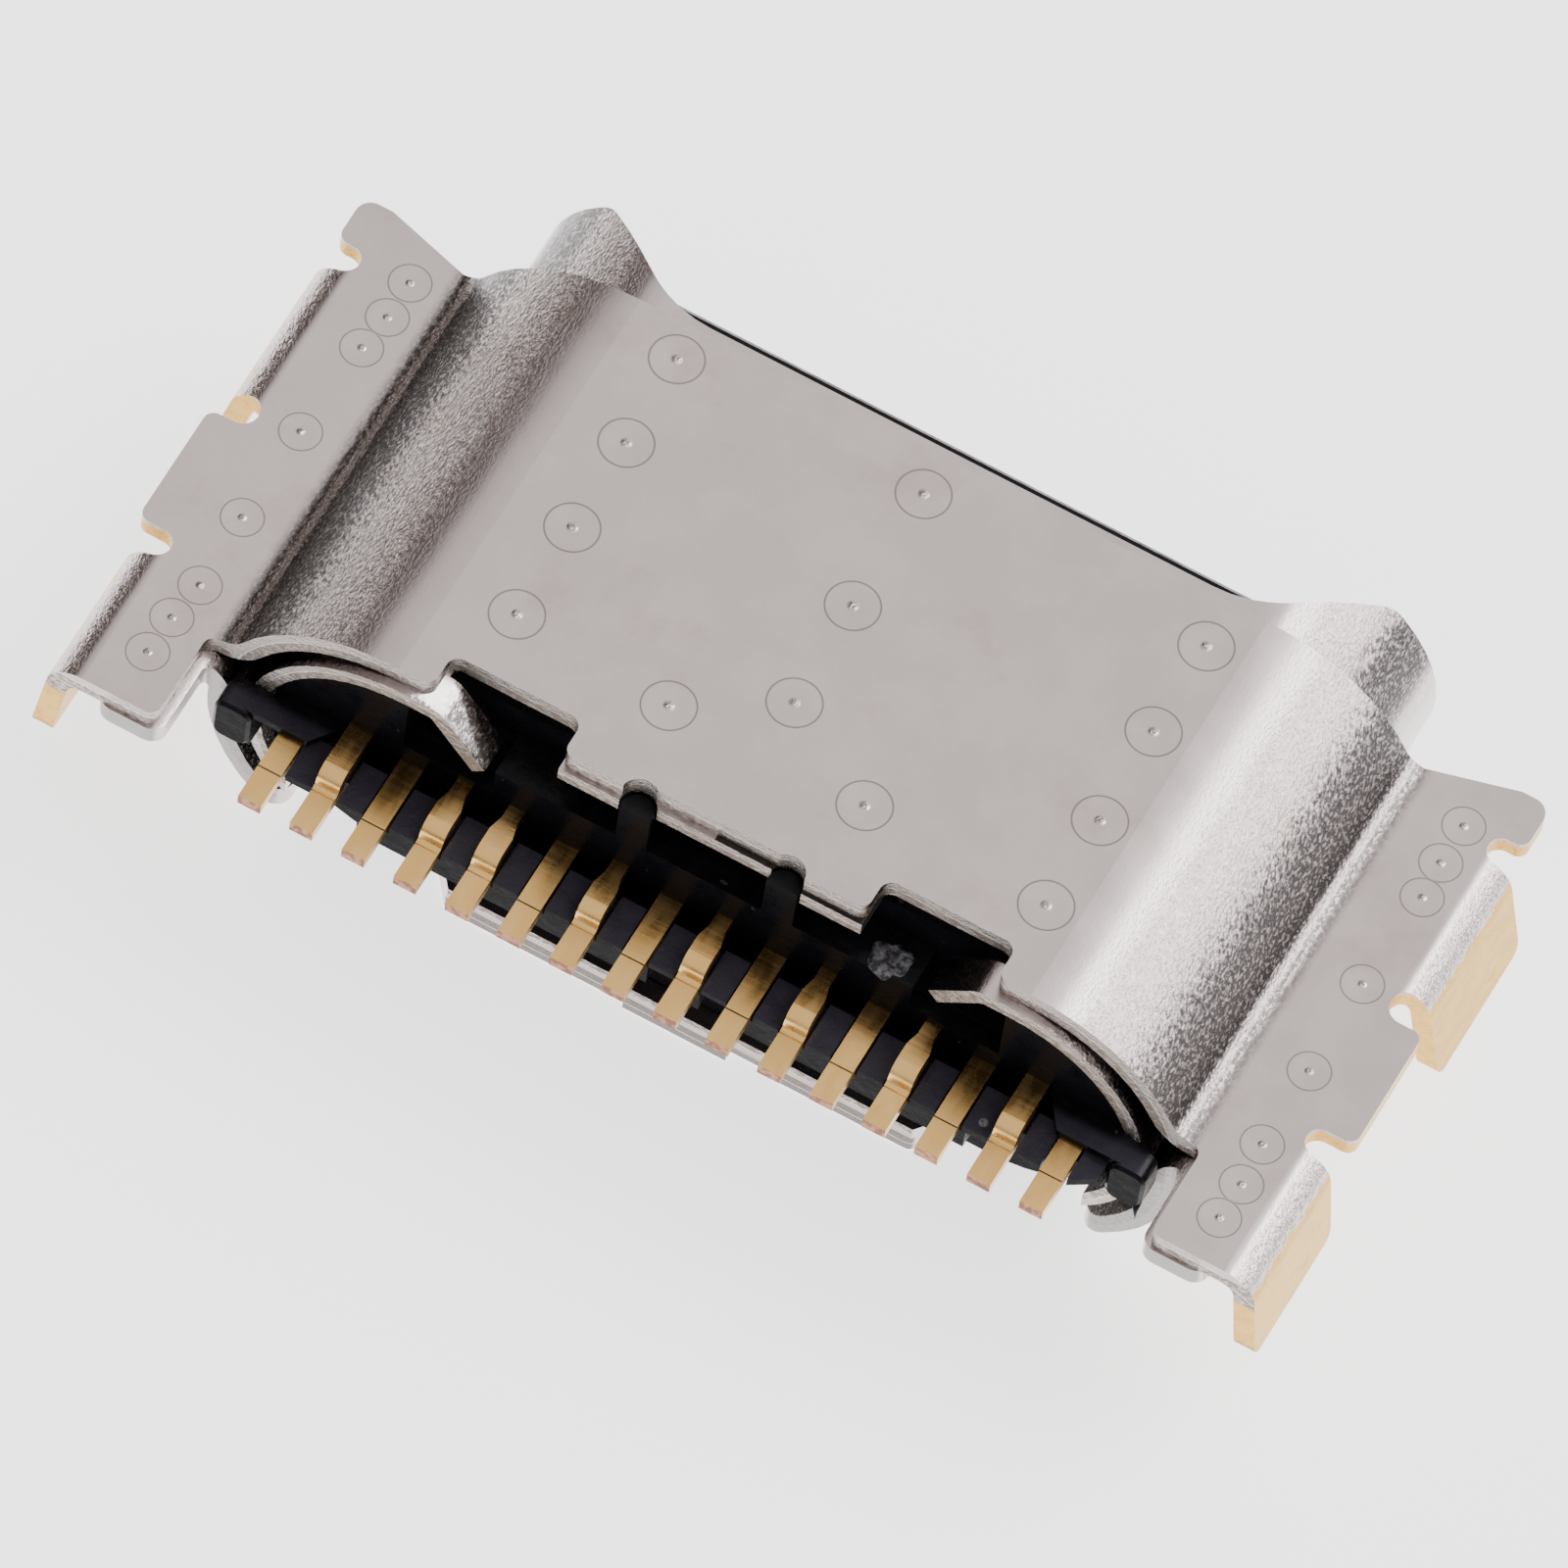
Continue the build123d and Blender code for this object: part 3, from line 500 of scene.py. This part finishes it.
class Nickel(Paint):
    """Nickel-plated sheet, built up in layers: faces, cut edges, and then marks of its own."""

    def __init__(self, name, sheet=cover_sheet, middle=dome_place, outer=dome_height, wing=None,
                 edge=cover_edge_tone, edge_ends=None):
        super().__init__(name)
        self.up = self.normal[2]
        self.creases = self.noise(30.0, detail=3, roughness=0.6, stretch=(1.3, 0.7, 1.3))
        self.flecks = self.noise(16.0, detail=4, roughness=0.7, stretch=(1, 1, 2.2))
        self.below = self.math("DIVIDE", self.sheet_depth(middle, outer, wing), sheet)
        self.surface.inputs["Metallic"].default_value = 1.0
        self.lay_faces(wing is not None)
        self.lay_edges(wing is not None, edge, edge_ends)

    def lay_faces(self, has_wing):
        """Satin flats with faint stains; creased bends, their crease marks heavier on the left as painted
        shade; and a painted dark reflection on the steep shoulders and at their foot.
        """
        cloud = self.noise(1.6, detail=4)
        stain = self.noise(0.9, detail=5, roughness=0.65)
        feathers = self.noise(24.0, detail=3, roughness=0.6, stretch=(1.5, 0.6, 1.2), turn=28)
        grain = self.noise(30.0, detail=3, stretch=(1, 0.7, 1))

        face = self.mix(self.spread(cloud, *noise_core), *satin_tones)
        face = self.mix(self.spread(stain, *stain_range), face, stain_tone)
        bend = self.product(self.spread(self.up, *bend_begins_up), self.spread(self.up, *bend_ends_up))
        on_right = self.math("GREATER_THAN", self.across, 0)
        # Crease marks on the bends: a real creased texture, heavier on the left as painted shade
        creased_and_shaded = self.product(bend, self.spread(self.creases, *crease_lines),
                               self.blend(on_right, crease_share_left, crease_share_right))
        face = self.mix(creased_and_shaded, face, crease_and_shade_tone)
        # Painted reflection: the steep shoulders are painted near-black, broken up by the crease noise
        ragged_up = self.math("ADD", self.up, self.spread(feathers, *noise_span, *feather_shift))
        painted_shoulder_reflection = self.product(self.spread(ragged_up, *shoulder_begins_up),
                             self.spread(self.up, *shoulder_ends_up),
                             self.spread(self.side, *shoulder_side),
                             self.spread(self.creases, *shoulder_sparkle))
        face = self.mix(painted_shoulder_reflection, face, shoulder_painted_reflection_tone)
        if has_wing:
            # Painted reflection: a dark band at the foot of the shoulders, beside the wing
            foot = self.product(self.spread(self.side, *foot_inner_side),
                                self.spread(self.side, *foot_outer_side),
                                self.spread(self.creases, *foot_sparkle))
            face = self.mix(foot, face, foot_painted_reflection_tone)
        self.colour = face
        self.rough = self.blend(bend, self.spread(cloud, *noise_span, *flat_roughness), bend_roughness)

        pattern = self.blend(self.spread(self.side, *feather_side), self.creases, feathers)
        self.relief = self.bump(self.product(pattern, bend), crease_relief)
        self.press(self.product(grain, self.spread(bend, 0, 1, flat_grain, 1.0)), grain_relief)

    def lay_edges(self, has_wing, edge, edge_ends):
        """Cut edges: a sheared band under the outer face, a bright rim line painted as a highlight, and a
        torn band.
        """
        torn = self.product(self.spread(self.below, *torn_below), self.spread(self.flecks, *torn_flecks))
        edge = self.mix(torn, edge, torn_edge_tone)
        # Painted highlight: a bright line along the cut edge
        edge = self.mix(self.product(self.peak(self.below, rim_below, rim_width), rim_share), edge, rim_painted_highlight_tone)
        if edge_ends is not None:
            edge = self.mix(self.spread(self.side, *lip_end_side), edge, edge_ends)
        if has_wing:
            cut = self.spread(self.up, *cover_cut_up)
        else:
            cut = self.spread(self.math("ABSOLUTE", self.normal[1]), *rear_cut)
        self.colour = self.mix(cut, self.colour, edge)
        self.rough = self.blend(cut, self.rough, self.spread(torn, 0, 1, *edge_roughness))
        self.press(self.product(self.flecks, cut), torn_relief)

    def press(self, height, depth_mm):
        """Adds a height map to the relief."""
        self.relief = self.bump(height, depth_mm, below=self.relief)

    def lay_leg_gold(self):
        """Gold flash on the legs' outer faces, ragged at its upper edge, with dark brown flecks low on the
        legs' rear faces, and dents.
        """
        ragged = self.spread(self.noise(7.0, detail=4), *noise_span, *ragged_shift)
        rear_face = self.product(self.math("LESS_THAN", self.normal[1], rear_normal),
                                 self.math("GREATER_THAN", self.depth, leg_rear_depth))
        gold = self.product(self.spread(self.math("ADD", self.side, ragged), *gold_side),
                            self.spread(self.math("ADD", self.up, ragged), *gold_up),
                            self.spread(self.math("ADD", self.below, ragged), *gold_below),
                            self.blend(rear_face, 1.0, self.spread(self.height, *rear_gold_height)))
        satin = self.noise(9.0, detail=3, stretch=(1, 0.4, 1))
        plating = self.mix(self.spread(satin, *noise_core), *leg_golds)
        self.colour = self.mix(gold, self.colour, plating)
        self.rough = self.blend(gold, self.rough, self.spread(satin, *noise_span, *leg_gold_roughness))
        # Dark brown flecks low on the legs' rear faces
        foot = self.product(rear_face, self.spread(self.height, *foot_height),
                            self.spread(self.flecks, *foot_flecks))
        self.colour = self.mix(foot, self.colour, leg_foot_tone)
        for dent in leg_dents:
            self.press(self.math("SUBTRACT", 1.0, self.spot(*dent, dent_radius)), dent_relief)

    def lay_welds(self):
        """Laser weld marks: a dark ring round a shallow dish, with a rough speck in the middle."""
        share = self.weld_share()
        level = self.spread(self.up, *level_up)
        ring = self.product(self.peak(share, ring_middle, ring_width), level)
        inside = self.product(self.math("LESS_THAN", share, dish_limit), level)
        pit = self.product(self.spread(share, *pit_range), level)
        specks = self.noise(34.0, detail=3)
        self.colour = self.mix(self.product(ring, ring_share), self.colour, ring_tone)
        stained = self.product(pit, self.spread(specks, *pit_specks), pit_share)
        self.colour = self.mix(stained, self.colour, pit_tone)
        self.press(self.product(inside, self.spread(share, 0.0, 1.0)), dish_relief)
        self.press(self.product(pit, specks), pit_relief)

    def lay_tabs(self):
        """The two folded tabs: the right one painted near-black as a painted reflection of the black
        moulding, the left one with its shading normal leant towards the window so that it shines, and its
        end painted a duller grey as painted shade.
        """
        # Painted reflection: the right tab's folded top is painted near-black
        folded = self.product(self.spread(self.side, *right_tab_side),
                              self.spread(self.depth, *right_tab_depth),
                              self.spread(self.height, *right_tab_height),
                              self.spread(self.up, *right_tab_up))
        right = self.product(folded, self.math("GREATER_THAN", self.across, 0), right_tab_share)
        self.colour = self.mix(right, self.colour, right_tab_painted_reflection_tone)
        left = self.product(self.spread(self.math("SUBTRACT", 0, self.across), *left_tab_inner),
                            self.spread(self.side, *left_tab_outer),
                            self.spread(self.depth, *left_tab_depth),
                            self.spread(self.height, *left_tab_height),
                            self.spread(self.up, *left_tab_up))
        ragged_depth = self.math("ADD", self.depth, self.product(self.creases, left_tab_ragged))
        bright = self.product(left, self.spread(ragged_depth, *left_tab_bright))
        self.relief = self.lean(bright, self.relief, towards_window)
        # Painted shade: the rest of the left tab, its end, is painted a duller grey
        shaded_end = self.product(left, self.math("SUBTRACT", 1, bright))
        self.colour = self.mix(shaded_end, self.colour, left_tab_end_painted_shade_tone)

    def done(self):
        """The finished material."""
        return self.finish(self.colour, self.rough, self.relief)


def cover_nickel():
    """The top cover's sheet, with its welds and gilded legs."""
    paint = Nickel("nickel_cover", wing=wing_height)
    paint.lay_leg_gold()
    paint.lay_welds()
    return paint.done()


def tube_nickel():
    """The drawn tube's sheet, with its folded tabs."""
    paint = Nickel("nickel_tube", sheet=shell_sheet, middle=arc_place, outer=shell_height)
    paint.lay_tabs()
    return paint.done()


def gold_plate(name, stepped):
    """Bright gold plating over a stamped copper alloy, with copper showing on the cut ends."""
    paint = Paint(name)
    streak = paint.noise(7.0, detail=2, stretch=(1.0, 0.3, 1))
    ladder = paint.noise(9.0, detail=4, roughness=0.7, stretch=(0.15, 1.6, 0.3))
    # The crease line across the tails: a real crease, darkened in colour as painted shade
    if stepped:
        line = paint.product(paint.peak(paint.depth, stepped_line, stepped_line_width),
                             paint.spread(streak, *line_streaks))
    else:
        line = paint.peak(paint.depth, straight_line, straight_line_width)
    line = paint.product(line, paint.spread(paint.normal[2], *line_up))
    # Painted shade: the tails darkened to brown where they come out of the moulding
    root = paint.product(paint.spread(paint.depth, *root_depth), paint.spread(ladder, *root_ladder))
    end = paint.product(paint.spread(paint.normal[1], *end_normal), paint.spread(paint.depth, *end_depth))
    worn = paint.spread(paint.noise(14.0, detail=3), *worn_range)

    colour = paint.mix(paint.spread(streak, *noise_core), *tail_golds)
    colour = paint.mix(paint.product(line, line_share), colour, tail_line_shade_tone)
    colour = paint.mix(paint.product(root, root_share), colour, tail_root_painted_shade_tone)
    colour = paint.mix(end, colour, paint.mix(worn, *copper_tones))
    rough = paint.spread(streak, *noise_span, *tail_roughness)
    relief = paint.bump(streak, streak_relief)
    rungs = paint.product(ladder, paint.spread(paint.depth, *ladder_depth))
    relief = paint.bump(rungs, ladder_relief, below=relief)
    relief = paint.bump(paint.math("SUBTRACT", 1.0, line), line_relief, below=relief)
    paint.surface.inputs["Metallic"].default_value = 1.0
    return paint.finish(colour, rough, relief)


def black_moulding():
    """Black fibre-filled moulding: half gloss, with a faint flow pattern, a slight blue cast, rib tops
    painted a lighter blue-grey as a painted reflection of the sky, and a small pale painted glint.
    """
    paint = Paint("black_moulding")
    flow = paint.noise(6.0, detail=5)
    fine = paint.noise(34.0, detail=3)
    # Painted reflection: the ribs' top faces are painted a lighter blue-grey
    painted_rib_reflection = paint.product(paint.spread(paint.normal[2], *rib_up), paint.spread(paint.depth, *rib_depth))
    # Painted highlight: a small pale glint, broken up by the fibre noise
    painted_glint = paint.product(paint.spot(*glint_place, glint_radius), paint.spread(fine, *glint_fibres))
    dust = paint.product(paint.spread(paint.noise(9.0, detail=2), *dust_range), dust_share)

    colour = paint.mix(painted_rib_reflection, paint.mix(flow, *body_blacks), paint.mix(flow, *rib_top_reflection_blacks))
    colour = paint.mix(painted_glint, colour, glint_tone)
    colour = paint.mix(dust, colour, dust_tone)
    shine = paint.spread(paint.normal[1], *rear_shine)
    paint.join(shine, paint.surface.inputs["Specular IOR Level"])
    relief = paint.bump(flow, flow_relief)
    relief = paint.bump(fine, fibre_relief, below=relief)
    return paint.finish(colour, paint.spread(flow, *noise_span, *moulding_roughness), relief)


def torn_moulding():
    """The same moulding where it was torn off at the gate: rough, and whitened at its edges."""
    paint = Paint("torn_moulding")
    torn = paint.noise(15.0, detail=5, roughness=0.7)
    colour = paint.mix(paint.spread(torn, *torn_whitening), *torn_blacks)
    paint.surface.inputs["Specular IOR Level"].default_value = torn_shine
    rough = paint.spread(torn, *noise_span, *torn_roughness)
    return paint.finish(colour, rough, paint.bump(torn, scar_relief))


def dress(names, material, bevel_mm):
    """Gives CAD nodes a material, smooth bends and slightly rounded edges."""
    for name in names:
        piece = nodes[name]
        piece.data.materials.clear()
        piece.data.materials.append(material)
        for face in piece.data.polygons:
            face.use_smooth = True
        bevel = piece.modifiers.new("edges", "BEVEL")
        bevel.width = bevel_mm * mm
        bevel.segments = edge_segments
        bevel.limit_method = "ANGLE"
        bevel.angle_limit = sharp_angle
        bevel.harden_normals = False
        smooth = piece.modifiers.new("smooth", "WEIGHTED_NORMAL")
        smooth.keep_sharp = True


def new_piece(name, shape, material):
    """A piece of the scene's own, fixed to the connector."""
    mesh = bpy.data.meshes.new(name)
    shape.to_mesh(mesh)
    shape.free()
    for face in mesh.polygons:
        face.use_smooth = True
    mesh.materials.append(material)
    piece = bpy.data.objects.new(name, mesh)
    bpy.context.scene.collection.objects.link(piece)
    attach(piece, "root")
    return piece


def gate_scar(material):
    """The torn patch that the moulding's gate left on the ledge beside the right pocket."""
    shape = bmesh.new()
    rows = []
    for ring in range(scar_rings + 1):
        share = ring / scar_rings
        row = []
        for spoke in range(scar_spokes):
            angle = math.tau * spoke / scar_spokes
            outward = Vector((math.cos(angle), math.sin(angle), 0))
            lump = noise.noise((outward + Vector((0, 0, scar_seed))) * scar_lumps)
            spot = outward * scar_radius * share * (1 + scar_unevenness * lump)
            ridge = math.exp(-((share - ridge_place) / ridge_width) ** 2)
            rough = noise.fractal(spot * scar_grain + scar_grain_seed, 0.8, 2.0, 4)
            rise = (1 - share ** 4) * (scar_base + scar_ridge * ridge + scar_tear * abs(rough))
            across, depth, height = scar_middle
            row.append(shape.verts.new(place(across + spot.x, depth - spot.y, height + rise - scar_sink)))
        rows.append(row)
    for inner, outer in zip(rows, rows[1:]):
        for spoke in range(scar_spokes):
            after = (spoke + 1) % scar_spokes
            shape.faces.new((inner[spoke], outer[spoke], outer[after], inner[after]))
    shape.faces.new(list(reversed(rows[-1])))
    bmesh.ops.remove_doubles(shape, verts=shape.verts, dist=1e-7)
    bmesh.ops.recalc_face_normals(shape, faces=shape.faces)
    return new_piece("gate_scar", shape, material)


def torn_flash(material):
    """A torn sliver of flash on the lower rear corner of the right lug."""
    shape = bmesh.new()
    root, middle = ([shape.verts.new(place(*point)) for point in row] for row in flash_rows)
    tip = shape.verts.new(place(*flash_tip))
    shape.faces.new(root)
    for number in range(len(root)):
        after = (number + 1) % len(root)
        shape.faces.new((root[number], root[after], middle[after], middle[number]))
        shape.faces.new((middle[number], middle[after], tip))
    bmesh.ops.recalc_face_normals(shape, faces=shape.faces)
    return new_piece("torn_flash", shape, material)


def make_world():
    """A studio's surround: pale above, dark at the horizon, brown on the left, one bright window."""
    world = bpy.data.worlds.new("studio")
    bpy.context.scene.world = world
    world.use_nodes = True
    sky = Shader(world.node_tree)
    towards = sky.add("ShaderNodeTexCoord").outputs["Generated"]
    across, along, up = sky.split(towards)
    colour = sky.mix(sky.spread(up, *sky_up), horizon_tone, sky_tone)
    colour = sky.mix(sky.spread(across, *left_wall_across), colour, left_wall_tone)
    glow = sky.spread(sky.distance(towards, left_glow_towards), *left_glow_reach)
    colour = sky.mix(glow, colour, left_glow_tone)
    window = sky.spread(sky.distance(towards, window_towards), *window_reach)
    colour = sky.mix(window, colour, window_tone)
    sky.join(colour, sky.tree.nodes["Background"].inputs["Color"])


def make_stage():
    """A plain pale floor."""
    half = floor_half
    mesh = bpy.data.meshes.new("floor")
    mesh.from_pydata([(-half, -half, 0), (half, -half, 0), (half, half, 0), (-half, half, 0)],
                     [], [(0, 1, 2, 3)])
    floor = bpy.data.objects.new("floor", mesh)
    bpy.context.scene.collection.objects.link(floor)
    floor.location.z = -floor_gap
    paint = Paint("floor_paint")
    for key, value in (("Base Color", floor_tone), ("Roughness", floor_roughness),
                       ("Emission Color", (1, 1, 1, 1)), ("Emission Strength", floor_glow)):
        paint.surface.inputs[key].default_value = value
    mesh.materials.append(paint.material)


make_camera()
dress(["top_cover"], cover_nickel(), cover_edge)
# The bottom cover's cut edges are painted dark as painted shade, lighter towards their ends
dress(["bottom_cover"], Nickel("nickel_bottom", edge=lip_painted_shade_tone, edge_ends=lip_end_tone).done(), cover_edge)
dress(["inner_shell"], tube_nickel(), cover_edge)
dress(["mid_plate", "upper_ground_plate", "lower_ground_plate"], Nickel("plain_steel").done(), plate_edge)
for row, stepped in (("lower", False), ("upper", True)):
    contacts = [name for name in nodes if name.startswith(row + "_contact_") and "carrier" not in name]
    dress(contacts, gold_plate(row + "_gold", stepped), small_edge)
moulding = black_moulding()
dress(["tongue_housing", "upper_contact_carrier", "lower_contact_carrier"], moulding, small_edge)
gate_scar(torn_moulding())
torn_flash(moulding)
make_world()
make_stage()

bpy.context.view_layer.update()
